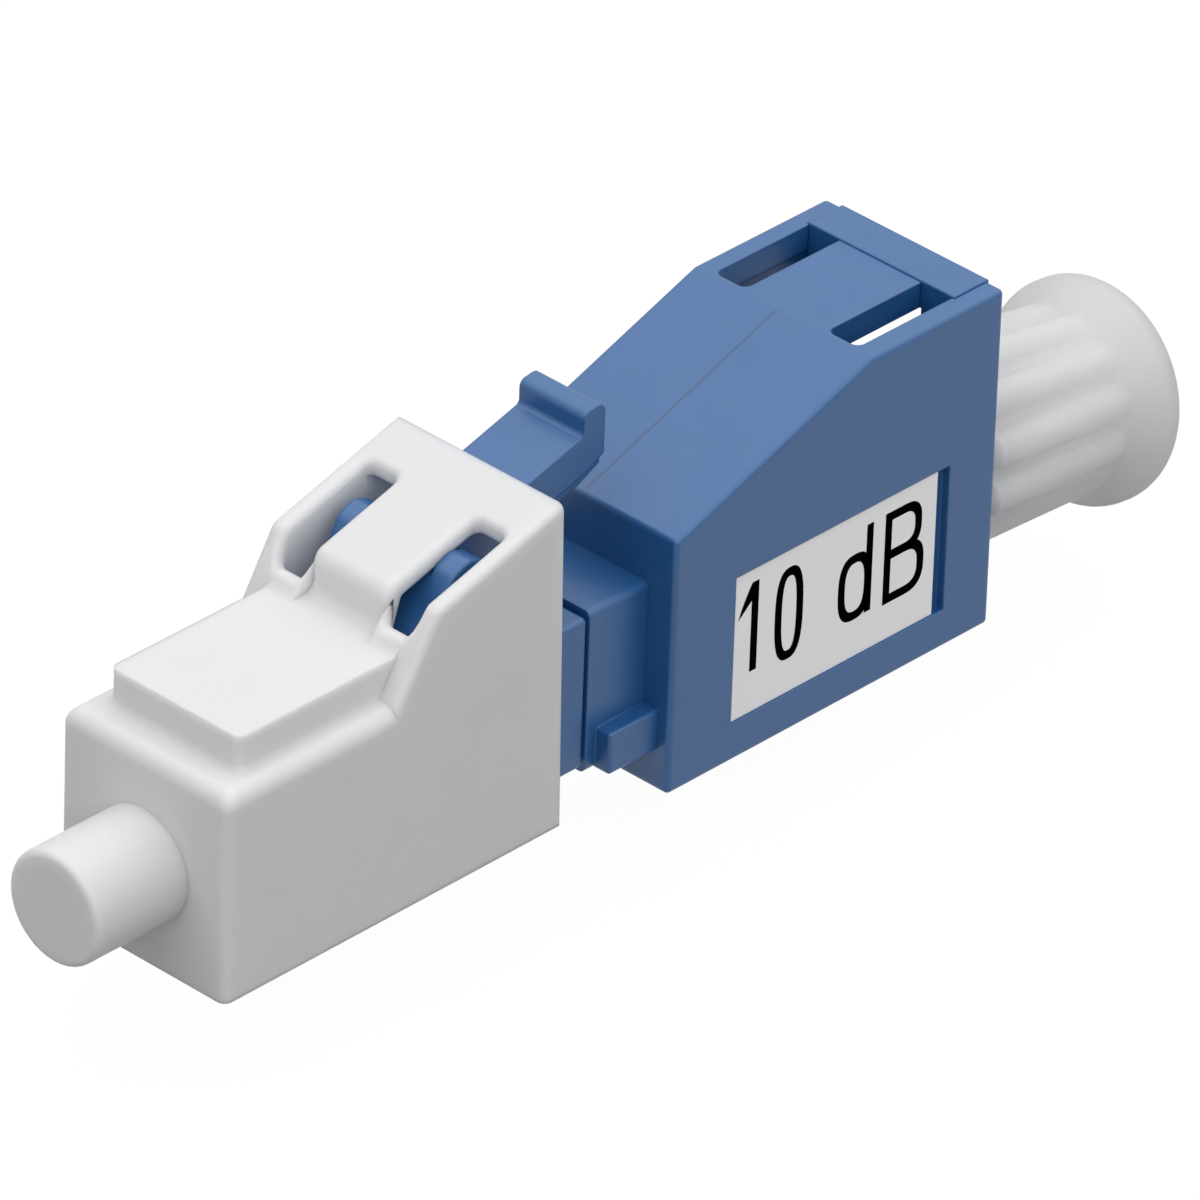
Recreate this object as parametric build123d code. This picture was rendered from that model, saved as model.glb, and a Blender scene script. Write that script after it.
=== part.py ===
from build123d import *
from math import cos, pi, radians, tan
import os

# Plug-in fibre attenuator for 1.25 mm ferrules, in millimetres.
# +X points along the fibre from the receptacle to the plug, +Z is up and the label is on the +Y side.
# The origin is the centre of the housing's flat underside.

# Housing
shell_length = 11.96
shell_width = 6.24
shell_height = 10.03
flat_top_length = 4.92
slope_foot_height = 7.54
shell_side_wall = 0.55
shell_roof = 0.75
shell_floor = 0.9
shell_front_wall = 1.2
shell_edge_radius = 0.15
fibre_height = 3.65
window_inner = 1.42
window_outer = 2.5
window_length = 3.5
window_corner_radius = 0.25

# Label and its recess
recess_depth = 0.25
recess_start = 1.77
recess_length = 7.91
recess_bottom = 1.16
recess_height = 4.36
label_end_gap = 0.4
label_edge_gap = 0.02
label_thickness = 0.2

# Receptacle insert
insert_fit = 0.02
bar_length = 1.29
bar_proud = 0.05
bar_edge_radius = 0.05
port_clearance = 0.055
shoulder_height = 8.5
latch_slot_half = 1.45
cheek_height = 7.6
bulkhead_thickness = 1.4
boss_gap = 0.1

# Ferrule line
ferrule_diameter = 1.249
fibre_diameter = 0.125
fibre_bore = 0.127
ferrule_chamfer = 0.12
sleeve_length = 6.8
sleeve_wall = 0.185
sleeve_slot = 0.35
running_clearance = 0.01
sleeve_room = 0.05
holder_wall = 0.34
holder_lip = 0.42
holder_lip_room = 0.1
holder_flange_radius = 1.7
holder_flange_thickness = 0.4
holder_end_gap = 0.04

# Collar
collar_length = 2.13
collar_half = 2.225
collar_bottom = 1.2
collar_top = 5.99
collar_edge_radius = 0.2
tab_length = 1.76
tab_half = 2.72
tab_top = 2.42
boss_half = 2.15
boss_reach = 0.74
boss_corner_radius = 0.3
barb_height = 0.25
barb_length = 0.7
barb_half = 1.1
spigot_half = 1.82
spigot_length = 3.5
spring_seat = 1.05
spring_room = 0.2

# Plug frame
frame_side = 4.45
frame_length = 10.36
seam_gap = 0.07
frame_edge_radius = 0.14
frame_mouth_radius = 1.5
frame_mouth_depth = 2.1
cone_gap = 0.02
keyway_length = 2.4
keyway_clearance = 0.05

# Ferrule flange and its spring
flange_tip_setback = 5.1
flange_cone_length = 0.6
flange_nose_radius = 1.0
flange_across_flats = 2.6
flange_body_length = 1.9
flange_tail_length = 1.4
flange_tail_radius = 0.96
catch_to_tip = 9.07
wire_diameter = 0.3
spring_turns = 7.5
spring_inner_radius = 1.05

# Latch lever
latch_half = 1.13
latch_setback = 6.87
latch_rise = 3.28
latch_pitch = 15.8
arm_thickness = 1.13
lip_reach = 5.03
lip_length = 0.75
lip_height = 0.75
lip_crown = 0.1
lip_rear_radius = 0.26
lip_front_radius = 0.22
lip_root_radius = 0.16
lip_undercut = 0.15
lip_toe = 0.78
rib_half = 1.0
rib_drop = 0.34
rib_depth = 0.5
knee_reach = 0.75
neck_reach = 2.5
neck_height = 1.2
neck_thickness = 0.56
neck_setback = 0.2
toe_reach = 3.6
toe_height = 0.98
hinge_tail = 0.6
bend_radius = 0.8
toe_radius = 1.2
ear_half = 2.05
ear_inner = 1.38
ear_edge_radius = 0.12
ear_lean = 0.08
ear_height = 1.25
ear_rise = 0.1
ear_proud = 0.13
ear_crest = 0.7
ear_crest_radius = 0.4
ear_shoulder_reach = 1.22
ear_shoulder_drop = 0.1
ear_brow_reach = 1.75
ear_brow_drop = 1.05
ear_nose_reach = 2.6
ear_nose_drop = 1.9
ear_chin_reach = 2.3
ear_chin_drop = 2.15
ear_heel_reach = 1.2
ear_heel_drop = 1.75
ear_nose_radius = 0.2
ear_heel_radius = 0.5
hinge_setback = 0.5
hinge_radius = 0.33
hinge_clearance = 0.02
hinge_rise = 0.45

# Dust cap on the plug
cap_half = 2.92
cap_wall = 0.54
cap_clear_below = 0.19
cap_lap = 8.82
cap_lean = 1.4
cap_roof_rise = 4.415
cap_roof_pitch = 15.9
cap_roof = 0.45
cap_bend_setback = 4.2
cap_steep_pitch = 59.5
cap_bend_radius = 0.4
cap_rim_radius = 0.2
cap_foot_radius = 0.35
cap_room_radius = 0.2
cap_window_inner = 1.33
cap_window_setback = 7.16
cap_window_length = 3.12
cap_window_radius = 0.25
cap_window_margin = 0.02
window_brim_radius = 0.24
bridge_setback = 4.0
bridge_bend_radius = 0.45
bridge_wall = 0.5
plateau_half = 2.25
plateau_rise = 1.905
plateau_front = 2.04
plateau_roof = 0.63
plateau_foot_radius = 0.18
plateau_corner_radius = 0.22
step_rise = 0.875
cap_front_reach = 3.05
cap_seat_gap = 0.05
cap_seat_half = 1.75
cap_edge_radius = 0.44
cap_corner_radius = 0.25
nose_radius = 1.58
nose_length = 3.1
nose_drop = 0.1
nose_bore_radius = 1.1
nose_end_wall = 0.6
nose_rim_radius = 0.18

# Dust plug in the receptacle
droop = 8.9
yaw = 0.6
spigot_radius = 2.1
plug_depth = 1.97
plug_nose_radius = 0.15
plug_bore_radius = 1.4
plug_bore_depth = 5.2
plug_length = 7.5
barrel_crest = 2.87
barrel_taper = 2.7
rib_count = 12
rib_radius = 0.75
rib_end = 5.75
flare_start = 5.0
flare_root_radius = 2.5
flare_bend_radius = 3.0
flange_radius = 3.15
flange_thickness = 0.75
flange_root_radius = 0.3
flange_rim_radius = 0.34
first_rib_angle = 25.0

# Places along the fibre, worked out from the sizes above
shell_rear = -shell_length / 2
shell_front = shell_length / 2
shell_half = shell_width / 2
insert_half = shell_half - shell_side_wall - insert_fit
bar_front = shell_rear + bar_length
window_front = bar_front + insert_fit + window_length
port_half = frame_side / 2 + port_clearance
front_wall_rear = shell_front - shell_front_wall
boss_rear = front_wall_rear - boss_reach
bulkhead_front = boss_rear - boss_gap
port_end = bulkhead_front - bulkhead_thickness
mating_plane = bulkhead_front + holder_flange_thickness
seam = shell_front + collar_length
frame_rear = seam + seam_gap
frame_front = frame_rear + frame_length
frame_half = frame_side / 2
frame_top = fibre_height + frame_half
frame_bottom = fibre_height - frame_half
catch_x = frame_front - latch_setback
ferrule_tip = catch_x + catch_to_tip
ferrule_radius = ferrule_diameter / 2
sleeve_inner = ferrule_radius + running_clearance
sleeve_outer = sleeve_inner + sleeve_wall
holder_inner = sleeve_outer + sleeve_room
holder_outer = holder_inner + holder_wall
holder_hole = ferrule_radius + holder_lip_room
sleeve_half = sleeve_length / 2
spigot_front = seam + spigot_length
spring_floor = seam + spring_seat
flange_front = ferrule_tip - flange_tip_setback
flange_body_front = flange_front - flange_cone_length
flange_body_rear = flange_body_front - flange_body_length
spring_outer_radius = spring_inner_radius + wire_diameter
chamber_radius = spring_outer_radius + spring_room
hinge_x = frame_front - hinge_setback
hinge_z = frame_top + hinge_rise
slope_rate = (shell_height - slope_foot_height) / (shell_length - flat_top_length)
eps = 1.0


def slope_height(x):
    """Height of the housing's sloping top at a place along the fibre."""
    return shell_height - slope_rate * (x - shell_rear - flat_top_length)


def block(x0, x1, half_width, z0, z1):
    """Box centred on the mid plane, given by its ends along X and Z."""
    return Pos(x0, 0, z0) * Box(x1 - x0, 2 * half_width, z1 - z0, align=(Align.MIN, Align.CENTER, Align.MIN))


def side_block(x0, x1, y0, y1, z0, z1):
    """Box on one side of the mid plane."""
    return Pos(x0, y0, z0) * Box(x1 - x0, y1 - y0, z1 - z0, align=(Align.MIN, Align.MIN, Align.MIN))


def profile(corners, half_width):
    """Side outline of (x, z, corner radius) points, extruded evenly to both sides of the mid plane."""
    points = [(x, 0, z) for x, z, r in corners]
    outline = FilletPolyline(*points, radius=[r for x, z, r in corners], close=True)
    return extrude(make_face(outline), half_width, dir=(0, 1, 0), both=True)


def rod(x0, x1, radius):
    """Cylinder on the fibre line."""
    lying = Cylinder(radius, x1 - x0, rotation=(0, 90, 0), align=(Align.CENTER, Align.CENTER, Align.MIN))
    return Pos(x0, 0, fibre_height) * lying


def turned(points):
    """Solid turned about the fibre line from (x, radius) points."""
    outline = Polyline(*[(x, 0, fibre_height + r) for x, r in points], close=True)
    return revolve(make_face(outline), Axis((0, 0, fibre_height), (1, 0, 0)))


def long_edges(solid):
    """Edges that run along the fibre."""
    return solid.edges().filter_by(Axis.X)


def mirrored(solid):
    """The same form on the other side of the mid plane."""
    return mirror(solid, about=Plane.XZ)


def window_cutter(x0, x1, y0, y1, z0, z1, corner_radius):
    """Upright window opening with rounded corners."""
    cutter = side_block(x0, x1, y0, y1, z0, z1)
    return fillet(cutter.edges().filter_by(Axis.Z), corner_radius)


# Housing: one moulding, open at the rear, with a round-cornered opening in its front wall for the collar
def make_outer_shell():
    outline = [
        (shell_rear, 0, 0),
        (shell_front, 0, 0),
        (shell_front, slope_foot_height, 0),
        (shell_rear + flat_top_length, shell_height, 0),
        (shell_rear, shell_height, 0),
    ]
    shell = profile(outline, shell_half)
    shell = fillet(shell.edges(), shell_edge_radius)
    cavity = [
        (shell_rear - eps, shell_floor, 0),
        (front_wall_rear, shell_floor, 0),
        (front_wall_rear, slope_height(front_wall_rear) - shell_roof, 0),
        (shell_rear + flat_top_length, shell_height - shell_roof, 0),
        (shell_rear - eps, shell_height - shell_roof, 0),
    ]
    shell -= profile(cavity, shell_half - shell_side_wall)
    bar_room = bar_front + insert_fit
    shell -= block(shell_rear - eps, bar_room, shell_half - shell_side_wall, shell_floor, shell_height + eps)
    window = window_cutter(
        bar_room, window_front, window_inner, window_outer, slope_foot_height, shell_height + eps,
        window_corner_radius,
    )
    window += side_block(
        bar_room - insert_fit, bar_room + window_corner_radius, window_inner, window_outer,
        slope_foot_height, shell_height + eps,
    )
    shell -= window
    shell -= mirrored(window)
    opening_half = boss_half + insert_fit
    opening = block(
        front_wall_rear - eps, shell_front + eps, opening_half,
        fibre_height - opening_half, fibre_height + opening_half,
    )
    shell -= fillet(long_edges(opening), boss_corner_radius)
    recess_x = shell_rear + recess_start
    shell -= side_block(
        recess_x, recess_x + recess_length, shell_half - recess_depth, shell_half + eps,
        recess_bottom, recess_bottom + recess_height,
    )
    return shell


# Receptacle insert: rear bar with the port's mouth, two cheeks and a bulkhead, moulded as one
def make_receptacle_insert():
    floor = shell_floor + insert_fit
    roof_gap = shell_roof + insert_fit
    outline = [
        (shell_rear, floor, 0),
        (bulkhead_front, floor, 0),
        (bulkhead_front, slope_height(bulkhead_front) - roof_gap, 0),
        (shell_rear + flat_top_length, shell_height - roof_gap, 0),
        (bar_front, shell_height - roof_gap, 0),
        (bar_front, shell_height + bar_proud, 0),
        (shell_rear, shell_height + bar_proud, 0),
    ]
    insert = profile(outline, insert_half)
    top_edges = insert.edges().group_by(Axis.Z)[-1]
    insert = fillet(top_edges, bar_edge_radius)
    insert -= block(shell_rear - eps, port_end, port_half, fibre_height - port_half, shoulder_height)
    slot_top = shell_height - roof_gap
    insert -= block(shell_rear - eps, port_end, latch_slot_half, shoulder_height - eps, slot_top)
    insert -= block(bar_front, port_end, shell_half, cheek_height, shell_height + eps)
    insert -= rod(port_end - eps, bulkhead_front + eps, holder_outer + insert_fit)
    return insert


# Sleeve holder half: a flanged tube with a lip that keeps the split sleeve in
def make_sleeve_holder(side):
    sleeve_end = sleeve_half + holder_end_gap
    tube_end = sleeve_end + holder_lip
    half = turned([
        (mating_plane, holder_inner),
        (mating_plane, holder_flange_radius),
        (mating_plane + side * holder_flange_thickness, holder_flange_radius),
        (mating_plane + side * holder_flange_thickness, holder_outer),
        (mating_plane + side * tube_end, holder_outer),
        (mating_plane + side * tube_end, holder_hole + holder_lip / 2),
        (mating_plane + side * (tube_end - holder_lip / 2), holder_hole),
        (mating_plane + side * sleeve_end, holder_hole),
        (mating_plane + side * sleeve_end, holder_inner),
    ])
    return half


# Split sleeve: thin ceramic tube, slotted along its whole length, that lines up the two ferrules
def make_split_sleeve():
    sleeve = rod(mating_plane - sleeve_half, mating_plane + sleeve_half, sleeve_outer)
    sleeve -= rod(mating_plane - sleeve_half - eps, mating_plane + sleeve_half + eps, sleeve_inner)
    slot = block(
        mating_plane - sleeve_half - eps, mating_plane + sleeve_half + eps, sleeve_slot / 2,
        fibre_height, fibre_height + sleeve_outer + eps,
    )
    return sleeve - slot


# Ferrule: ceramic stub polished at both ends, with the fibre bonded in its bore
def make_ferrule():
    stub = rod(mating_plane, ferrule_tip, ferrule_radius)
    rims = stub.edges().filter_by(GeomType.CIRCLE)
    stub = chamfer(rims, ferrule_chamfer)
    return stub - rod(mating_plane - eps, ferrule_tip + eps, fibre_bore / 2)


# Fibre: the doped length of glass that takes up the light
def make_doped_fibre():
    return rod(mating_plane, ferrule_tip, fibre_diameter / 2)


# Flange: turned metal collar bonded to the ferrule, six-sided so that it keys into the frame
def make_ferrule_flange():
    corner_radius = flange_across_flats / 2 / cos(pi / 6)
    flange = turned([
        (flange_body_rear - flange_tail_length, ferrule_radius),
        (flange_body_rear - flange_tail_length, flange_tail_radius),
        (flange_body_rear, flange_tail_radius),
        (flange_body_rear, corner_radius),
        (flange_body_front, corner_radius),
        (flange_front, flange_nose_radius),
        (flange_front, ferrule_radius),
    ])
    return flange & make_hexagon(flange_body_rear - flange_tail_length, flange_front, flange_across_flats)


def make_hexagon(x0, x1, across_flats):
    """Six-sided bar on the fibre line."""
    hexagon = RegularPolygon(across_flats / 2, 6, major_radius=False)
    return extrude(Plane.YZ.offset(x0) * Pos(0, fibre_height) * hexagon, x1 - x0)


# Spring: closes the joint, seated in the collar's spigot and on the flange's rear face
def make_float_spring():
    mean_radius = spring_inner_radius + wire_diameter / 2
    free_length = flange_body_rear - spring_floor
    pitch = free_length / spring_turns
    path = Helix(pitch, free_length, mean_radius, center=(0, 0, 0), direction=(0, 0, 1))
    section = Plane(path @ 0, z_dir=path % 0) * Circle(wire_diameter / 2)
    coil = sweep(section, path, is_frenet=True)
    upright = (Align.CENTER, Align.CENTER, Align.MIN)
    coil = coil & Cylinder(2 * spring_outer_radius, free_length, align=upright)
    return Pos(spring_floor, 0, fibre_height) * Rot(0, 90, 0) * coil


# Collar: joins the housing and the plug frame, with foot tabs, a barbed boss and a barbed spigot
def make_plug_collar():
    collar = block(shell_front, seam, collar_half, collar_bottom, collar_top)
    collar = fillet(long_edges(collar), collar_edge_radius)
    tabs = block(shell_front, shell_front + tab_length, tab_half, collar_bottom, tab_top)
    tab_edges = long_edges(tabs) + tabs.faces().sort_by(Axis.X)[-1].edges()
    tabs = fillet(tab_edges, collar_edge_radius / 2)
    collar += tabs
    boss = block(
        boss_rear, shell_front, boss_half, fibre_height - boss_half, fibre_height + boss_half
    )
    collar += fillet(long_edges(boss), boss_corner_radius)
    barb_face = front_wall_rear - insert_fit
    barb = profile([
        (barb_face - barb_length, fibre_height, 0),
        (barb_face, fibre_height, 0),
        (barb_face, fibre_height + boss_half + barb_height, 0),
        (barb_face - barb_length, fibre_height + boss_half, 0),
    ], barb_half)
    collar += barb
    collar += mirror(barb, about=Plane.XY.offset(fibre_height))
    spigot = block(
        seam, spigot_front, spigot_half, fibre_height - spigot_half, fibre_height + spigot_half
    )
    collar += fillet(long_edges(spigot), boss_corner_radius)
    collar += make_spigot_barb()
    collar += mirrored(make_spigot_barb())
    pocket = holder_flange_radius + insert_fit
    pocket_floor = mating_plane + holder_flange_thickness
    tube_end = mating_plane + sleeve_half + holder_end_gap + holder_lip
    collar -= rod(boss_rear - eps, pocket_floor, pocket)
    collar -= rod(boss_rear, tube_end + holder_end_gap, holder_outer + insert_fit)
    collar -= rod(pocket_floor, spigot_front + eps, holder_hole)
    collar -= rod(spring_floor, spigot_front + eps, chamber_radius)
    return collar


def make_spigot_barb():
    """Side barb on the spigot, with a ramp at its front."""
    catch = seam + spigot_length - barb_length - barb_height
    reach = frame_half - spigot_half - port_clearance
    ramp = Polyline(
        (catch, spigot_half - barb_height, fibre_height),
        (catch, spigot_half + reach, fibre_height),
        (catch + barb_length, spigot_half, fibre_height),
        (catch + barb_length, spigot_half - barb_height, fibre_height),
        close=True,
    )
    return extrude(make_face(ramp), barb_half / 2, dir=(0, 0, 1), both=True)


# Plug frame: square housing round the ferrule, snapped over the collar's spigot
def make_plug_frame():
    frame = block(frame_rear, frame_front, frame_half, frame_bottom, frame_top)
    frame = fillet(frame.edges(), frame_edge_radius)
    root_height = hinge_z
    root = block(hinge_x, frame_front, latch_half, frame_top - frame_edge_radius, root_height)
    frame += fillet(root.edges().group_by(Axis.X)[-1].group_by(Axis.Z)[-1], frame_edge_radius)
    seat_half = spigot_half + insert_fit
    socket = block(
        frame_rear - eps, spigot_front + insert_fit, seat_half,
        fibre_height - seat_half, fibre_height + seat_half,
    )
    frame -= fillet(long_edges(socket), boss_corner_radius)
    catch = seam + spigot_length - barb_length - barb_height
    frame -= block(
        catch - insert_fit, catch + barb_length + insert_fit, frame_half + eps,
        fibre_height - barb_half / 2 - insert_fit, fibre_height + barb_half / 2 + insert_fit,
    )
    key_flats = flange_across_flats + 2 * keyway_clearance
    key_rear = flange_body_front - keyway_length
    frame -= rod(spring_floor, key_rear, chamber_radius)
    frame -= make_hexagon(key_rear - keyway_clearance, flange_body_front + cone_gap, key_flats)
    corner_radius = flange_across_flats / 2 / cos(pi / 6)
    frame -= turned([
        (flange_body_front + cone_gap, 0),
        (flange_body_front + cone_gap, corner_radius),
        (flange_front + cone_gap, flange_nose_radius),
        (flange_front + cone_gap, 0),
    ])
    frame -= rod(flange_body_front, frame_front, flange_nose_radius + cone_gap)
    frame -= rod(frame_front - frame_mouth_depth, frame_front + eps, frame_mouth_radius)
    knuckle = hinge_radius + hinge_clearance
    seat = Pos(hinge_x, 0, hinge_z) * Cylinder(knuckle, 2 * latch_half + eps, rotation=(90, 0, 0))
    frame -= seat
    return frame


# Latch lever: rises from the front of the plug frame to the finger lip, with a catch ear on each side
def make_latch_lever():
    rate = tan(radians(latch_pitch))
    catch_top = frame_top + latch_rise
    lip_rear = catch_x - lip_reach
    lip_front = lip_rear + lip_length

    def arm_top(x):
        return catch_top - rate * (x - catch_x)

    lip_top = arm_top(lip_front) + lip_height
    knee_x = catch_x + knee_reach
    neck_x = catch_x + neck_reach
    toe_x = catch_x + toe_reach
    arm = [
        (lip_rear, arm_top(lip_rear) - arm_thickness + lip_undercut, 0),
        (lip_rear, lip_top, lip_rear_radius),
        (lip_front, lip_top - lip_crown, lip_front_radius),
        (lip_front, arm_top(lip_front), lip_root_radius),
        (knee_x, arm_top(knee_x), bend_radius),
        (neck_x, frame_top + neck_height, bend_radius),
        (toe_x, frame_top + toe_height, toe_radius),
        (hinge_x, hinge_z + hinge_radius, 0),
        (hinge_x, hinge_z - hinge_radius, 0),
        (hinge_x - hinge_tail, hinge_z - hinge_radius + hinge_clearance, 0),
        (toe_x - neck_setback, frame_top + toe_height - neck_thickness, bend_radius),
        (neck_x - neck_setback, frame_top + neck_height - neck_thickness, bend_radius),
        (catch_x, arm_top(catch_x) - arm_thickness, bend_radius),
        (lip_rear + lip_toe, arm_top(lip_rear + lip_toe) - arm_thickness, 0),
    ]
    lever = profile(arm, latch_half)
    lever += Pos(hinge_x, 0, hinge_z) * Cylinder(hinge_radius, 2 * latch_half, rotation=(90, 0, 0))
    rib_rear = lip_rear + insert_fit
    rib_under = arm_thickness + rib_drop
    rib = [
        (rib_rear, arm_top(lip_rear) - rib_under + lip_undercut, 0),
        (rib_rear, arm_top(lip_rear) - rib_depth, 0),
        (catch_x, arm_top(catch_x) - rib_depth, 0),
        (catch_x, arm_top(catch_x) - rib_under, 0),
        (lip_rear + lip_toe, arm_top(lip_rear + lip_toe) - rib_under, 0),
    ]
    lever += profile(rib, rib_half)
    ears = [
        (catch_x - ear_lean, catch_top - ear_height, 0),
        (catch_x + ear_lean, catch_top - ear_rise, ear_crest_radius),
        (catch_x + ear_crest, catch_top + ear_proud, ear_crest_radius),
        (catch_x + ear_shoulder_reach, catch_top - ear_shoulder_drop, ear_crest_radius),
        (catch_x + ear_brow_reach, catch_top - ear_brow_drop, bend_radius),
        (catch_x + ear_nose_reach, catch_top - ear_nose_drop, ear_nose_radius),
        (catch_x + ear_chin_reach, catch_top - ear_chin_drop, ear_nose_radius),
        (catch_x + ear_heel_reach, catch_top - ear_heel_drop, ear_heel_radius),
    ]
    wings = profile(ears, ear_half)
    wings -= profile([
        (catch_x - eps, arm_top(catch_x - eps), 0),
        (catch_x - eps, catch_top + eps, 0),
        (toe_x, catch_top + eps, 0),
        (toe_x, arm_top(toe_x), 0),
    ], ear_inner)
    ends = wings.faces().sort_by(Axis.Y)
    rims = ends[0].edges() + ends[-1].edges()
    lever += fillet(rims, ear_edge_radius)
    return lever


# Rating label: printed plate in the housing's recess
def make_rating_label():
    x0 = shell_rear + recess_start + label_end_gap
    x1 = shell_rear + recess_start + recess_length - label_edge_gap
    floor = shell_half - recess_depth
    return side_block(
        x0, x1, floor, floor + label_thickness,
        recess_bottom + label_edge_gap, recess_bottom + recess_height - label_edge_gap,
    )


# Dust cap: soft white moulding over the plug, with two windows for the ears and a hollow nose
def make_front_dust_cap():
    bottom = frame_bottom - cap_clear_below - cap_wall
    shelf = frame_top + step_rise
    plateau_top = frame_top + plateau_rise
    roof_rear = frame_top + cap_roof_rise
    roof_rate = tan(radians(cap_roof_pitch))
    lean_rate = tan(radians(cap_lean))
    rear = frame_front - cap_lap
    rear_top = rear + (roof_rear - bottom) * lean_rate
    front = frame_front + cap_front_reach
    inner_half = cap_half - cap_wall

    def roof(x):
        return roof_rear - roof_rate * (x - rear_top)

    bend_x = frame_front - cap_bend_setback
    foot_x = bend_x + (roof(bend_x) - shelf) / tan(radians(cap_steep_pitch))
    tall = profile([
        (rear, bottom, 0),
        (rear_top, roof_rear, 0),
        (bend_x, roof(bend_x), cap_bend_radius),
        (foot_x, shelf, 0),
        (foot_x, bottom, 0),
    ], cap_half)
    sides = tall.faces().sort_by(Axis.Y)
    rims = (sides[0].edges() + sides[-1].edges()).filter_by(lambda edge: edge.center().Z > shelf)
    tall = fillet(rims, cap_rim_radius)
    window_rear = frame_front - cap_window_setback
    window_end = window_rear + cap_window_length
    window_outer_edge = inner_half + cap_window_margin
    window = window_cutter(
        window_rear, window_end, cap_window_inner, window_outer_edge, shelf, roof_rear, cap_window_radius
    )
    tall -= window
    tall -= mirrored(window)
    tall = fillet(window_brims(tall, window_rear, window_end, window_outer_edge, shelf), window_brim_radius)

    low = profile([
        (rear + cap_wall, bottom, 0),
        (rear + cap_wall, shelf, 0),
        (front, shelf, 0),
        (front, bottom, 0),
    ], cap_half)
    upright = low.faces().sort_by(Axis.X)[-1].edges().filter_by(Axis.Y, reverse=True)
    low = fillet(upright, cap_corner_radius)
    low = fillet(low.edges().group_by(Axis.Z)[-1].sort_by(Axis.X)[1:], cap_edge_radius)
    plateau = block(bend_x, frame_front + plateau_front, plateau_half, bottom + cap_wall, plateau_top)
    plateau = fillet(plateau.faces().sort_by(Axis.X)[-1].edges().filter_by(Axis.Z), plateau_corner_radius)

    bridge_x = frame_front - bridge_setback
    bridge_rear = window_rear + 2 * cap_window_radius
    strip = block(bridge_rear, foot_x, cap_window_inner, plateau_top, roof_rear)
    bridge = profile([
        (bridge_rear, plateau_top - cap_wall, 0),
        (bridge_rear, roof(bridge_rear), 0),
        (bridge_x, roof(bridge_x), bridge_bend_radius),
        (bridge_x, plateau_top - cap_wall, 0),
    ], cap_window_inner)
    sides = bridge.faces().sort_by(Axis.Y)
    rims = (sides[0].edges() + sides[-1].edges()).filter_by(lambda edge: edge.center().X > bridge_rear)
    rims = rims.filter_by(lambda edge: edge.center().Z > plateau_top)
    cap = tall - strip + low + plateau + fillet(rims, window_brim_radius)
    feet = cap.edges().filter_by(Axis.Y).filter_by(
        lambda edge: abs(edge.center().Z - plateau_top) < insert_fit
        and bridge_x - insert_fit < edge.center().X < foot_x
    )
    cap = fillet(feet, cap_foot_radius)
    plateau_line = cap.edges().filter_by(
        lambda edge: abs(edge.center().Z - shelf) < insert_fit and edge.center().X > foot_x
        and abs(edge.center().Y) < plateau_half + insert_fit
        and edge.center().X < frame_front + plateau_front + insert_fit
    )
    cap = fillet(plateau_line, plateau_foot_radius)

    roof_drop = cap_roof / cos(radians(cap_roof_pitch))
    room_front = bridge_x - bridge_wall
    room = [
        (rear - eps, bottom + cap_wall, 0),
        (frame_front + cap_seat_gap, bottom + cap_wall, 0),
        (frame_front + cap_seat_gap, shelf - cap_wall, 0),
        (window_end, shelf - cap_wall, 0),
        (window_end, plateau_top - plateau_roof, 0),
        (room_front, roof(room_front) - roof_drop, cap_room_radius),
        (rear - eps, roof(rear - eps) - roof_drop, 0),
    ]
    cap -= profile(room, inner_half)
    cap -= block(
        window_end - eps, frame_front + cap_seat_gap, plateau_half - cap_wall,
        frame_top, plateau_top - plateau_roof,
    )
    cap -= window
    cap -= mirrored(window)
    pocket = block(
        frame_front, front - cap_wall, cap_seat_half,
        fibre_height - cap_seat_half, fibre_height + cap_seat_half,
    )
    cap -= fillet(long_edges(pocket), cap_edge_radius)

    nose_end = front + nose_length
    nose = rod(front - cap_wall, nose_end, nose_radius)
    tip = nose.edges().filter_by(GeomType.CIRCLE).sort_by(Axis.X)[-1]
    cap += Pos(0, 0, -nose_drop) * fillet(tip, nose_rim_radius)
    cap -= Pos(0, 0, -nose_drop) * rod(frame_front, nose_end - nose_end_wall, nose_bore_radius)
    return cap


def window_brims(solid, x0, x1, outer_edge, floor):
    """Upper edges all round the two windows."""
    def on_brim(edge):
        middle = edge.center()
        inside = x0 - insert_fit < middle.X < x1 + insert_fit
        return inside and abs(middle.Y) < outer_edge + insert_fit and middle.Z > floor + cap_roof
    brims = solid.edges().filter_by(on_brim)
    return brims.filter_by(lambda edge: abs(edge.center().Y) > cap_window_inner - insert_fit).filter_by(
        Axis.Z, reverse=True
    )


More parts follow.
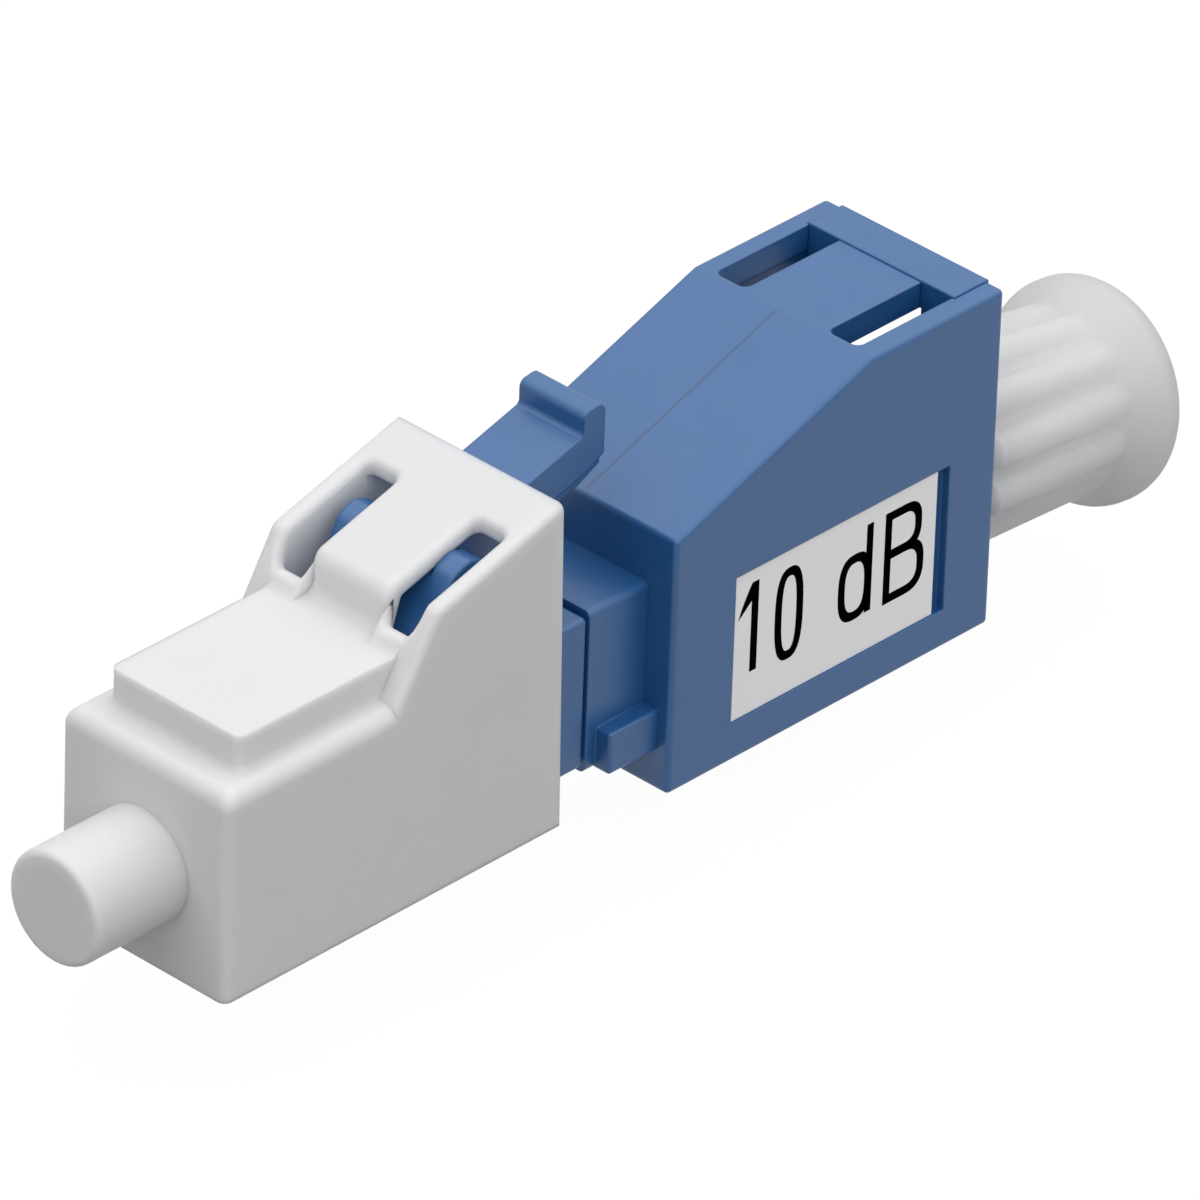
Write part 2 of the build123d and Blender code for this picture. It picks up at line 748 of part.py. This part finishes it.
# Dust plug: soft white moulding, loose in the port, so that it droops and leans a little to one side
def make_rear_dust_plug():
    start = barrel_crest * tan(radians(droop)) + insert_fit
    body = [
        (plug_depth, 0, 0),
        (plug_depth, spigot_radius, plug_nose_radius),
        (-start, spigot_radius, 0),
        (-start, flare_root_radius, 0),
        (-flare_start, flare_root_radius, flare_bend_radius),
        (-plug_length + flange_thickness, flange_radius, flange_root_radius),
        (-plug_length, flange_radius, flange_rim_radius),
        (-plug_length, 0, 0),
    ]
    points = [(x, 0, r) for x, r, corner in body]
    outline = FilletPolyline(*points, radius=[corner for x, r, corner in body], close=True)
    plug = revolve(make_face(outline), Axis.X)
    rib_reach = rib_end - start - rib_radius
    rib = Cylinder(rib_radius, rib_reach, align=(Align.CENTER, Align.CENTER, Align.MIN))
    rib += Pos(0, 0, rib_reach) * Sphere(rib_radius)
    rib = Pos(-start, 0, barrel_crest - rib_radius) * Rot(0, -90 - barrel_taper, 0) * rib
    around = 2 * flange_radius + eps
    rib &= Pos(-start, 0, 0) * Box(plug_length, around, around, align=(Align.MAX, Align.CENTER, Align.CENTER))
    for index in range(rib_count):
        plug += Rot(first_rib_angle - 90 + index * 360 / rib_count, 0, 0) * rib
    bore = Cylinder(plug_bore_radius, plug_bore_depth, rotation=(0, 90, 0))
    plug -= Pos(plug_depth - plug_bore_depth / 2, 0, 0) * bore
    return Pos(shell_rear, 0, fibre_height) * Rot(0, 0, yaw) * Rot(0, -droop, 0) * plug


pieces = {
    "outer_shell": make_outer_shell(),
    "receptacle_insert": make_receptacle_insert(),
    "sleeve_holder_port": make_sleeve_holder(-1),
    "sleeve_holder_plug": make_sleeve_holder(1),
    "split_sleeve": make_split_sleeve(),
    "ferrule": make_ferrule(),
    "doped_fibre": make_doped_fibre(),
    "ferrule_flange": make_ferrule_flange(),
    "float_spring": make_float_spring(),
    "plug_collar": make_plug_collar(),
    "plug_frame": make_plug_frame(),
    "latch_lever": make_latch_lever(),
    "rating_label": make_rating_label(),
    "front_dust_cap": make_front_dust_cap(),
    "rear_dust_plug": make_rear_dust_plug(),
}

os.makedirs("parts", exist_ok=True)
for name, piece in pieces.items():
    export_step(piece, f"parts/{name}.step")
    print(name, len(piece.solids()), round(piece.volume, 3))
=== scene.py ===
import math

import bmesh
import bpy
from mathutils import Matrix, Vector


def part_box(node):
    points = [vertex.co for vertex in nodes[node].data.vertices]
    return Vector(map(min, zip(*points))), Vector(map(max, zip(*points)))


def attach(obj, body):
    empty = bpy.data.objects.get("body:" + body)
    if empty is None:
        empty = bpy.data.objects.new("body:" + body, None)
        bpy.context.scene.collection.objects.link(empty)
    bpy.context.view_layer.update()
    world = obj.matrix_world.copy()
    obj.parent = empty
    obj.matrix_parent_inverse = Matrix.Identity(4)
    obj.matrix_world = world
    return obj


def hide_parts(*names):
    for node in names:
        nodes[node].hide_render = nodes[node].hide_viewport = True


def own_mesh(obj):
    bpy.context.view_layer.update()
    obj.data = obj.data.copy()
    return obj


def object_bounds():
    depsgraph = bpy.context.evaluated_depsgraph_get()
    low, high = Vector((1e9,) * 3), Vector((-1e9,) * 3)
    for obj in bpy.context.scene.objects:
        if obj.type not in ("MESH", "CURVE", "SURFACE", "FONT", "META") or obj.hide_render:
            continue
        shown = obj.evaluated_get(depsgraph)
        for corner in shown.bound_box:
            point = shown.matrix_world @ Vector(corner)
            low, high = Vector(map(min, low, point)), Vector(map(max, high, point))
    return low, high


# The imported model, in metres: +X runs from the receptacle to the plug, the origin is under the housing.
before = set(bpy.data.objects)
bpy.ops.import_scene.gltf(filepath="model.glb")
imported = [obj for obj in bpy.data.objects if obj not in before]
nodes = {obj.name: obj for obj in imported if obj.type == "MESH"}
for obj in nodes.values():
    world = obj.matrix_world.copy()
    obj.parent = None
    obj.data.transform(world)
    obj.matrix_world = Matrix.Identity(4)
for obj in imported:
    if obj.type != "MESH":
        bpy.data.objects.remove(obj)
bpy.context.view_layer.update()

# Blue mouldings: the housing, the insert in its rear end, the collar, the plug frame and the latch lever.
# All are injection moulded in one blue engineering plastic, with a satin skin from the tool's steel,
# and the housing's slope carries the faint parting line of the tool's two halves, with painted shade
# darkening the colour along its crease.
blue = (0.014, 0.098, 0.280, 1.0)
blue_gloss = 0.36
blue_specular = 0.7
parting_place = -0.00018
parting_width = 0.00006
# painted shade: how dark the colour is made along the parting line's crease
parting_shade_tone = 0.55
parting_front = (-0.0012, -0.0008)
parting_rear = (0.0058, 0.00584)
cloud_scale = 420
patch_scale = 900
patch_depth = 0.10
grain_scale = 9000
grain_strength = 0.35
edge_samples = 6
merge_gap = 0.0000001


def new_material(name, base, roughness):
    """Principled material with plain values set on its own sockets."""
    material = bpy.data.materials.new(name)
    material.use_nodes = True
    shader = material.node_tree.nodes["Principled BSDF"]
    shader.inputs["Base Color"].default_value = base
    shader.inputs["Roughness"].default_value = roughness
    return material, shader


def fix(shader, values):
    """Sets plain values on a shader's own sockets."""
    for name, value in values.items():
        shader.inputs[name].default_value = value


def give(name, material):
    """A CAD node takes a material in all its slots."""
    piece = nodes[name]
    piece.data.materials.clear()
    piece.data.materials.append(material)


def calc(tree, operation, *values):
    """Math node; each value is a plain number or another node's output."""
    node = tree.nodes.new("ShaderNodeMath")
    node.operation = operation
    for socket, value in zip(node.inputs, values):
        if isinstance(value, bpy.types.NodeSocket):
            tree.links.new(value, socket)
        else:
            socket.default_value = value
    return node.outputs[0]


def shaded(tree, colour, factor):
    """Node that makes a colour lighter or darker by a factor."""
    times = tree.nodes.new("ShaderNodeVectorMath")
    times.operation = "SCALE"
    tree.links.new(colour, times.inputs[0])
    tree.links.new(factor, times.inputs["Scale"])
    return times.outputs[0]


def ramp(tree, value, start, end, low, high):
    """Node that takes a value from one range to another and holds it at the ends."""
    span = tree.nodes.new("ShaderNodeMapRange")
    span.inputs["From Min"].default_value = start
    span.inputs["From Max"].default_value = end
    span.inputs["To Min"].default_value = low
    span.inputs["To Max"].default_value = high
    tree.links.new(value, span.inputs["Value"])
    return span.outputs[0]


def noise(tree, place, scale, detail):
    """Noise in the piece's own coordinates."""
    texture = tree.nodes.new("ShaderNodeTexNoise")
    texture.inputs["Scale"].default_value = scale
    texture.inputs["Detail"].default_value = detail
    tree.links.new(place.outputs["Object"], texture.inputs["Vector"])
    return texture.outputs["Fac"]


def skin_group(name, inputs):
    """Node group that takes a colour, a gloss and more, and gives a colour, a roughness and a height."""
    group = bpy.data.node_groups.new(name, "ShaderNodeTree")
    for end, sockets in (("INPUT", inputs), ("OUTPUT", ("Color", "Roughness", "Height"))):
        for socket in sockets:
            kind = "NodeSocketColor" if socket == "Color" else "NodeSocketFloat"
            group.interface.new_socket(socket, in_out=end, socket_type=kind)
    given = group.nodes.new("NodeGroupInput").outputs
    wanted = group.nodes.new("NodeGroupOutput").inputs
    return group, given, wanted


def moulded_skin():
    """Faint flow clouds in the colour, uneven gloss and a fine spark-eroded grain."""
    group, given, wanted = skin_group("moulded_skin", ("Color", "Gloss", "Cloud Strength"))
    place = group.nodes.new("ShaderNodeTexCoord")
    cloud = calc(group, "SUBTRACT", noise(group, place, cloud_scale, 3), 0.5)
    tone = calc(group, "MULTIPLY_ADD", cloud, given["Cloud Strength"], 1.0)
    uneven = calc(group, "MULTIPLY_ADD", noise(group, place, patch_scale, 2), patch_depth, given["Gloss"])
    group.links.new(shaded(group, given["Color"], tone), wanted["Color"])
    group.links.new(uneven, wanted["Roughness"])
    group.links.new(noise(group, place, grain_scale, 4), wanted["Height"])
    return group


def put_on(material, shader, group, strength, depth):
    """Lays a skin's colour, gloss and relief on a material."""
    tree = material.node_tree
    skin = tree.nodes.new("ShaderNodeGroup")
    skin.node_tree = group
    skin.inputs["Color"].default_value = shader.inputs["Base Color"].default_value
    skin.inputs["Gloss"].default_value = shader.inputs["Roughness"].default_value
    bump = tree.nodes.new("ShaderNodeBump")
    bump.inputs["Strength"].default_value = strength
    bump.inputs["Distance"].default_value = depth
    tree.links.new(skin.outputs["Color"], shader.inputs["Base Color"])
    tree.links.new(skin.outputs["Roughness"], shader.inputs["Roughness"])
    tree.links.new(skin.outputs["Height"], bump.inputs["Height"])
    tree.links.new(bump.outputs["Normal"], shader.inputs["Normal"])
    return skin, bump


def moulded(name, colour, gloss, cloud, grain_depth, edge_softness=0):
    """Moulded plastic, with edges as soft as the moulding's."""
    material, shader = new_material(name, colour, gloss)
    skin, bump = put_on(material, shader, plastic_group, grain_strength, grain_depth)
    skin.inputs["Cloud Strength"].default_value = cloud
    if edge_softness > 0:
        soft = material.node_tree.nodes.new("ShaderNodeBevel")
        soft.samples = edge_samples
        soft.inputs["Radius"].default_value = edge_softness
        material.node_tree.links.new(soft.outputs["Normal"], bump.inputs["Normal"])
    return material, shader


def blue_moulding(name):
    """Blue plastic with a satin skin."""
    material, shader = moulded(
        name, blue, blue_gloss, cloud=0.12, grain_depth=0.000004, edge_softness=0.00007
    )
    fix(shader, {"Specular IOR Level": blue_specular})
    return material, shader


def parting_crease_shade(material, shader):
    """Painted shade: a fine dark line darkens the skin's colour along the parting line's crease, near the
    mid plane of the slope.
    """
    tree = material.node_tree
    place = tree.nodes.new("ShaderNodeTexCoord")
    axes = tree.nodes.new("ShaderNodeSeparateXYZ")
    tree.links.new(place.outputs["Object"], axes.inputs[0])
    away = calc(tree, "ABSOLUTE", calc(tree, "SUBTRACT", axes.outputs["Y"], parting_place))
    line = ramp(tree, away, parting_width / 3, parting_width, 1, 0)
    ahead = ramp(tree, axes.outputs["X"], *parting_front, 0, 1)
    behind = ramp(tree, axes.outputs["X"], *parting_rear, 1, 0)
    shown = calc(tree, "MULTIPLY", line, calc(tree, "MULTIPLY", ahead, behind))
    # painted shade: the skin's colour is darkened along the parting line's crease
    tone = ramp(tree, shown, 0, 1, 1, parting_shade_tone)
    skin_colour = shader.inputs["Base Color"].links[0].from_socket
    tree.links.new(shaded(tree, skin_colour, tone), shader.inputs["Base Color"])


plastic_group = moulded_skin()
blue_material = blue_moulding("blue_moulding")[0]
for name in ("receptacle_insert", "plug_collar", "plug_frame", "latch_lever"):
    give(name, blue_material)
housing_material, housing_shader = blue_moulding("blue_housing")
# the housing's colour gets painted shade along the slope's parting line
parting_crease_shade(housing_material, housing_shader)
give("outer_shell", housing_material)

# Rating label: white laminated stock laid in the housing's recess, with a value in plain black figures.
# The figures are a thin layer of ink on the label's face, read from the +Y side. Places are millimetres
# along X and Z: a stroke or ring runs from its left edge to its right, and from its foot to its head.
label_white = (0.93, 0.92, 0.93, 1.0)
label_material, label_shader = moulded("label_stock", label_white, 0.3, cloud=0.02, grain_depth=0.000002)
fix(label_shader, {"Specular IOR Level": 1.0, "Coat Weight": 1.0, "Coat Roughness": 0.25})
give("rating_label", label_material)
ink = (0.002, 0.002, 0.002, 1.0)
ink_material, ink_shader = moulded("black_ink", ink, 0.6, cloud=0.3, grain_depth=0.000001)
fix(ink_shader, {"Specular IOR Level": 0.0})
ink_thickness = 0.00001
label_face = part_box("rating_label")[1].y
stroke = 0.00025
stroke_level = 1.05
ring_points = 56
ring_squareness = 0.10
one_stem = (3.04, 2.79, 2.42, 5.09)
flag_root = 4.14
flag_reach = 0.48
flag_upper = 0.95
flag_lower = 0.42
flag_curve = 0.8
nought_ring = (2.15, 1.11, 2.20, 4.96)
d_bowl = (-0.20, -1.42, 2.31, 4.29)
d_stem = (-1.21, -1.45, 2.35, 4.985)
b_stem = (-1.90, -2.15, 2.26, 5.0)
b_upper = (-1.95, -3.28, 3.58, 5.0)
b_lower = (-1.95, -3.40, 2.26, 3.83)
b_flat = -2.0


def new_piece(name, shape, material):
    """Object at the origin from a finished bmesh."""
    mesh = bpy.data.meshes.new(name)
    shape.to_mesh(mesh)
    shape.free()
    mesh.materials.append(material)
    piece = bpy.data.objects.new(name, mesh)
    bpy.context.scene.collection.objects.link(piece)
    return piece


def bar_figure(figure, x0, x1, z0, z1):
    """Straight stroke."""
    made = bmesh.ops.create_grid(figure, x_segments=1, y_segments=1, size=0.5)
    size = Matrix.Diagonal((abs(x1 - x0) / 1000, (z1 - z0) / 1000, 1, 1))
    bmesh.ops.transform(figure, matrix=size, verts=made["verts"])
    bmesh.ops.translate(figure, verts=made["verts"], vec=((x0 + x1) / 2000, (z0 + z1) / 2000, 0))


def ring_figure(figure, x0, x1, z0, z1, flat_to=None):
    """Closed rounded stroke; the half next to a stem may run flat to it."""
    rings = []
    for inset in (0, stroke):
        made = bmesh.ops.create_circle(figure, cap_ends=False, segments=ring_points, radius=1)
        half_x = abs(x1 - x0) / 2000 - inset
        half_z = (z1 - z0) / 2000 - inset * stroke_level
        middle = Vector(((x0 + x1) / 2000, (z0 + z1) / 2000, 0))
        for vert in made["verts"]:
            squarer = 1 + ring_squareness * (2 * vert.co.x * vert.co.y) ** 2
            vert.co = middle + Vector((vert.co.x * half_x * squarer, vert.co.y * half_z * squarer, 0))
            if flat_to is not None and vert.co.x > middle.x:
                vert.co.x = flat_to / 1000
        rings.append(list({edge for vert in made["verts"] for edge in vert.link_edges}))
    bmesh.ops.bridge_loops(figure, edges=rings[0] + rings[1])


def flag_figure(figure):
    """Curved flag of the figure one, from its tip to the head of the stem."""
    made = bmesh.ops.create_grid(figure, x_segments=4, y_segments=1, size=0.5)
    for vert in made["verts"]:
        along = vert.co.x + 0.5
        rise = flag_upper * along ** flag_curve if vert.co.y > 0 else flag_lower * along
        vert.co = Vector((one_stem[0] + flag_reach * (1 - along), flag_root + rise, 0)) / 1000


def print_figure(name, figure):
    """Lays one figure's ink on the label's face."""
    face = label_face + ink_thickness / 2
    stand = Matrix(((1, 0, 0, 0), (0, 0, -1, face), (0, 1, 0, 0), (0, 0, 0, 1)))
    bmesh.ops.transform(figure, matrix=stand, verts=figure.verts)
    bmesh.ops.remove_doubles(figure, verts=figure.verts, dist=merge_gap)
    layer = bmesh.ops.extrude_face_region(figure, geom=figure.faces[:])
    upper = [part for part in layer["geom"] if isinstance(part, bmesh.types.BMVert)]
    bmesh.ops.translate(figure, verts=upper, vec=(0, -ink_thickness, 0))
    bmesh.ops.recalc_face_normals(figure, faces=figure.faces)
    piece = new_piece(name, figure, ink_material)
    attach(piece, "housing")


one = bmesh.new()
bar_figure(one, *one_stem)
flag_figure(one)
print_figure("print_one", one)
nought = bmesh.new()
ring_figure(nought, *nought_ring)
print_figure("print_nought", nought)
letter_d = bmesh.new()
ring_figure(letter_d, *d_bowl)
bar_figure(letter_d, *d_stem)
print_figure("print_d", letter_d)
letter_b = bmesh.new()
bar_figure(letter_b, *b_stem)
ring_figure(letter_b, *b_upper, flat_to=b_flat)
ring_figure(letter_b, *b_lower, flat_to=b_flat)
print_figure("print_b", letter_b)

# Ferrule line: zirconia ferrule and split sleeve, doped glass fibre, steel flange and spring.
# The ceramic is ground and polished white; the metal parts are turned or drawn and left bare.
# The spring pushes the flange forward, and its copy here is a mesh piece of its own on the housing.
zirconia = (0.80, 0.79, 0.76, 1.0)
steel = (0.58, 0.57, 0.55, 1.0)
wire = (0.52, 0.52, 0.51, 1.0)
silica = (0.85, 0.87, 0.9, 1.0)
ring_scale = 6000
ring_tone = 0.94
ring_gloss = 0.08
ring_strength = 0.3
line_height = 3.65


def tool_marks():
    """Fine rings round the fibre line from turning or grinding."""
    group, given, wanted = skin_group("tool_marks", ("Color", "Gloss"))
    place = group.nodes.new("ShaderNodeTexCoord")
    rings = group.nodes.new("ShaderNodeTexWave")
    rings.bands_direction = "X"
    rings.inputs["Scale"].default_value = ring_scale
    rings.inputs["Distortion"].default_value = 2.0
    rings.inputs["Detail"].default_value = 3
    group.links.new(place.outputs["Object"], rings.inputs["Vector"])
    height = rings.outputs["Fac"]
    tone = ramp(group, height, 0, 1, ring_tone, 1.0)
    uneven = calc(group, "MULTIPLY_ADD", height, ring_gloss, given["Gloss"])
    group.links.new(shaded(group, given["Color"], tone), wanted["Color"])
    group.links.new(uneven, wanted["Roughness"])
    group.links.new(height, wanted["Height"])
    return group


def machined(name, colour, gloss, ring_depth, metallic=0.0):
    """Ground, turned or drawn material with fine rings."""
    material, shader = new_material(name, colour, gloss)
    put_on(material, shader, marks_group, ring_strength, ring_depth)
    fix(shader, {"Metallic": metallic})
    return material


def make_spring():
    """The solid spring's own coils, as a piece of their own."""
    coils = bmesh.new()
    coils.from_mesh(nodes["float_spring"].data)
    bmesh.ops.remove_doubles(coils, verts=coils.verts, dist=merge_gap)
    for face in coils.faces:
        face.smooth = True
    return new_piece("squeezed_spring", coils, wire_material)


marks_group = tool_marks()
ceramic_material = machined("zirconia", zirconia, 0.10, ring_depth=0.0000005)
steel_material = machined("turned_steel", steel, 0.24, ring_depth=0.000002, metallic=1.0)
wire_material = machined("spring_wire", wire, 0.20, ring_depth=0.000001, metallic=1.0)
glass_material = machined("silica", silica, 0.04, ring_depth=0.0000002)
give("ferrule", ceramic_material)
give("split_sleeve", ceramic_material)
give("ferrule_flange", steel_material)
give("doped_fibre", glass_material)
spring_piece = make_spring()
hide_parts("float_spring")
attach(spring_piece, "housing")
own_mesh(spring_piece)

# Sleeve holder: two ivory thermoplastic halves, moulded and pressed between the insert and the collar.
# They keep the split sleeve on the fibre line, deep in the housing.
ivory = (0.62, 0.60, 0.52, 1.0)
ivory_material = moulded("ivory_holder", ivory, 0.42, cloud=0.05, grain_depth=0.000003)[0]
give("sleeve_holder_port", ivory_material)
give("sleeve_holder_plug", ivory_material)

# Dust cap on the plug: soft white moulding, matt, slightly translucent at its thin edges.
# It is pushed over the plug frame and its windows clear the lever's two ears.
cap_white = (0.745, 0.745, 0.75, 1.0)
cap_material, cap_shader = moulded(
    "cap_white", cap_white, 0.5, cloud=0.03, grain_depth=0.000003, edge_softness=0.00007
)
fix(cap_shader, {
    "Specular IOR Level": 0.3,
    "Subsurface Weight": 1.0,
    "Subsurface Radius": (0.0005, 0.0005, 0.0005),
    "Subsurface Scale": 1.0,
})
give("front_dust_cap", cap_material)

# Dust plug in the receptacle: milky soft moulding with twelve grip ribs, a flat rim and a blind bore.
# It sits loosely in the port, so that it droops and leans a little. It stands in for the plainer solid.
# Lengths are millimetres on the plug's own axis, from the housing's rear face towards the plug end.
plug_milky = (0.80, 0.80, 0.81, 1.0)
plug_droop = math.radians(9.1)
plug_yaw = math.radians(2.4)
bore_end = -3.23
bore_radius = 1.4
stem_end = 1.97
stem_radius = 2.1
plug_shoulder = -0.5
barrel_radius = 2.43
flange_radius = 3.1
flange_face = -7.6
plug_outline = [
    (bore_end, 0.0, 0.0),
    (bore_end, bore_radius, 0.2),
    (stem_end, bore_radius, 0.1),
    (stem_end, stem_radius, 0.15),
    (plug_shoulder, stem_radius, 0.0),
    (plug_shoulder, barrel_radius, 0.0),
    (-6.1, barrel_radius, 1.0),
    (-7.05, flange_radius, 0.35),
    (flange_face, flange_radius, 0.24),
    (flange_face, 0.0, 0.0),
]
corner_steps = 8
rib_count = 12
rib_phase = math.radians(9)
rib_radius = 0.46
rib_crest = 2.87
rib_taper = math.tan(math.radians(2.9))
rib_end = 6.3
rib_blend = 0.16
ring_spacing = 0.14
points_around = 288


def rounded(corners):
    """Outline of (x, radius, corner radius) points in millimetres, with arcs at its corners."""
    outline = [Vector(corners[0][:2])]
    for before, corner, after in zip(corners, corners[1:], corners[2:]):
        here = Vector(corner[:2])
        if corner[2] == 0:
            outline.append(here)
            continue
        back = (Vector(before[:2]) - here).normalized()
        on = (Vector(after[:2]) - here).normalized()
        half = back.angle(on) / 2
        centre = here + (back + on).normalized() * corner[2] / math.sin(half)
        start = here + back * corner[2] / math.tan(half) - centre
        end = here + on * corner[2] / math.tan(half) - centre
        sweep = start.angle_signed(end)
        for step in range(corner_steps + 1):
            outline.append(centre + Matrix.Rotation(-sweep * step / corner_steps, 2) @ start)
    outline.append(Vector(corners[-1][:2]))
    return outline


def close_set(outline, spacing):
    """The same outline with points no farther apart than the spacing."""
    points = [outline[0]]
    for here, there in zip(outline, outline[1:]):
        steps = max(1, math.ceil((there - here).length / spacing))
        points += [here.lerp(there, step / steps) for step in range(1, steps + 1)]
    return points


def ribbed(x, radius, turn):
    """Distance of the plug's skin from its axis, where the round-ended ribs rise from the barrel."""
    if radius < barrel_radius - ring_spacing / 10 or x > plug_shoulder:
        return radius
    past_end = max(0.0, -x - (rib_end - rib_radius))
    if past_end >= rib_radius:
        return radius
    rib = math.sqrt(rib_radius ** 2 - past_end ** 2)
    middle = rib_crest - rib_radius - rib_taper * (plug_shoulder - x)
    pitch = 2 * math.pi / rib_count
    off = (turn - rib_phase + pitch / 2) % pitch - pitch / 2
    inside = rib ** 2 - (middle * math.sin(off)) ** 2
    if inside <= 0:
        return radius
    skin = middle * math.cos(off) + math.sqrt(inside)
    return (radius + skin + math.hypot(radius - skin, rib_blend)) / 2


def make_plug():
    """Turned outline with ribs, as one closed mesh that hangs in the port on its own axis."""
    outline = close_set(rounded(plug_outline), ring_spacing)
    last = len(outline) - 1
    body = bmesh.new()
    bmesh.ops.create_grid(body, x_segments=last, y_segments=points_around, size=0.5)
    for vert in body.verts:
        x, radius = outline[round((vert.co.x + 0.5) * last)]
        turn = (vert.co.y + 0.5) * 2 * math.pi
        skin = ribbed(x, radius, turn)
        vert.co = Vector((x, skin * math.sin(turn), skin * math.cos(turn))) / 1000
    bmesh.ops.remove_doubles(body, verts=body.verts, dist=5 * merge_gap)
    hung = Matrix.Rotation(plug_yaw, 4, "Z") @ Matrix.Rotation(-plug_droop, 4, "Y")
    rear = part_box("outer_shell")[0].x
    place = Matrix.Translation((rear, 0, line_height / 1000)) @ hung
    bmesh.ops.transform(body, matrix=place, verts=body.verts)
    bmesh.ops.recalc_face_normals(body, faces=body.faces)
    for face in body.faces:
        face.smooth = True
    return new_piece("ribbed_dust_plug", body, plug_material)


plug_material, plug_shader = moulded(
    "plug_milky", plug_milky, 0.45, cloud=0.03, grain_depth=0.000002, edge_softness=0.0001
)
fix(plug_shader, {
    "Specular IOR Level": 0.35,
    "Transmission Weight": 0.25,
    "Subsurface Weight": 1.0,
    "Subsurface Radius": (0.0032, 0.0032, 0.0032),
    "Subsurface Scale": 1.0,
})
plug_piece = make_plug()
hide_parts("rear_dust_plug")
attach(plug_piece, "port_plug")

# Floor: a plain pale sweep, white to the camera and in reflections, below the pulled dust plug.
# A small share of its own shading stays in the picture, so that it keeps the part's shadow.
floor_tone = (0.18, 0.18, 0.18, 1.0)
floor_white = 0.8
floor_glow = 1.21
floor_half = 1.2
plug_travel = 0.009
floor_gap = 0.00005
white = (1, 1, 1, 1)


def seen_rays(tree, share):
    """How far a surface shows as white: camera, mirror and glass rays, times a share."""
    path = tree.nodes.new("ShaderNodeLightPath").outputs
    eye = calc(tree, "MAXIMUM", path["Is Camera Ray"], path["Is Glossy Ray"])
    return calc(tree, "MULTIPLY", calc(tree, "MAXIMUM", eye, path["Is Transmission Ray"]), share)


floor_material, floor_shader = new_material("pale_floor", floor_tone, 0.9)
floor_material.cycles.emission_sampling = "NONE"
floor_tree = floor_material.node_tree
glow = floor_tree.nodes.new("ShaderNodeEmission")
fix(glow, {"Color": white, "Strength": floor_glow})
floor_mix = floor_tree.nodes.new("ShaderNodeMixShader")
floor_tree.links.new(seen_rays(floor_tree, floor_white), floor_mix.inputs["Fac"])
floor_tree.links.new(floor_shader.outputs[0], floor_mix.inputs[1])
floor_tree.links.new(glow.outputs[0], floor_mix.inputs[2])
floor_tree.links.new(floor_mix.outputs[0], floor_tree.nodes["Material Output"].inputs["Surface"])
low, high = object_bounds()
floor_z = low[2] - plug_travel * math.sin(plug_droop) - floor_gap
floor_bmesh = bmesh.new()
bmesh.ops.create_grid(floor_bmesh, x_segments=1, y_segments=1, size=floor_half)
bmesh.ops.translate(floor_bmesh, verts=floor_bmesh.verts, vec=(0, 0, floor_z))
floor = new_piece("floor", floor_bmesh, floor_material)

# World: even pale light from all round, pure white where the camera or a reflection sees it.
sky_level = 0.09
world = bpy.data.worlds.new("studio")
bpy.context.scene.world = world
world.use_nodes = True
world.cycles.sampling_method = "NONE"
sky = world.node_tree.nodes
sky_links = world.node_tree.links
dim = sky["Background"]
fix(dim, {"Color": white, "Strength": sky_level})
bright = sky.new("ShaderNodeBackground")
fix(bright, {"Color": white, "Strength": 1.0})
sky_mix = sky.new("ShaderNodeMixShader")
sky_links.new(seen_rays(world.node_tree, 1.0), sky_mix.inputs["Fac"])
sky_links.new(dim.outputs[0], sky_mix.inputs[1])
sky_links.new(bright.outputs[0], sky_mix.inputs[2])
sky_links.new(sky_mix.outputs[0], sky["World Output"].inputs["Surface"])

# Lamps: a very broad soft key from straight above, and a weak low fill from ahead.
lamp_distance = 0.5


def soft_sun(name, elevation, bearing, energy, spread):
    """Broad distant lamp, with angles in degrees; the bearing is counted from +X towards +Y."""
    data = bpy.data.lights.new(name, "SUN")
    data.energy = energy
    data.angle = math.radians(spread)
    lamp = bpy.data.objects.new(name, data)
    bpy.context.scene.collection.objects.link(lamp)
    up, turn = math.radians(elevation), math.radians(bearing)
    toward = Vector((math.cos(up) * math.cos(turn), math.cos(up) * math.sin(turn), math.sin(up)))
    lamp.location = toward * lamp_distance
    lamp.rotation_euler = toward.to_track_quat("Z", "Y").to_euler()


soft_sun("key", elevation=81, bearing=90, energy=3.08, spread=126)
soft_sun("fill", elevation=14, bearing=10, energy=0.3, spread=110)

# Camera: a long lens from the plug end's right, above the part.
camera_place = (0.25115, 0.22782, 0.21489)
camera_turn = (57.823, -1.735, 133.919)
camera_data = bpy.data.cameras.new("camera")
camera_data.sensor_width = 36
camera_data.lens = 470.02
camera_data.clip_start = 0.01
camera_data.clip_end = 10
camera = bpy.data.objects.new("camera", camera_data)
bpy.context.scene.collection.objects.link(camera)
camera.location = camera_place
camera.rotation_euler = [math.radians(angle) for angle in camera_turn]
bpy.context.scene.camera = camera

bpy.context.scene.view_settings.view_transform = "Standard"
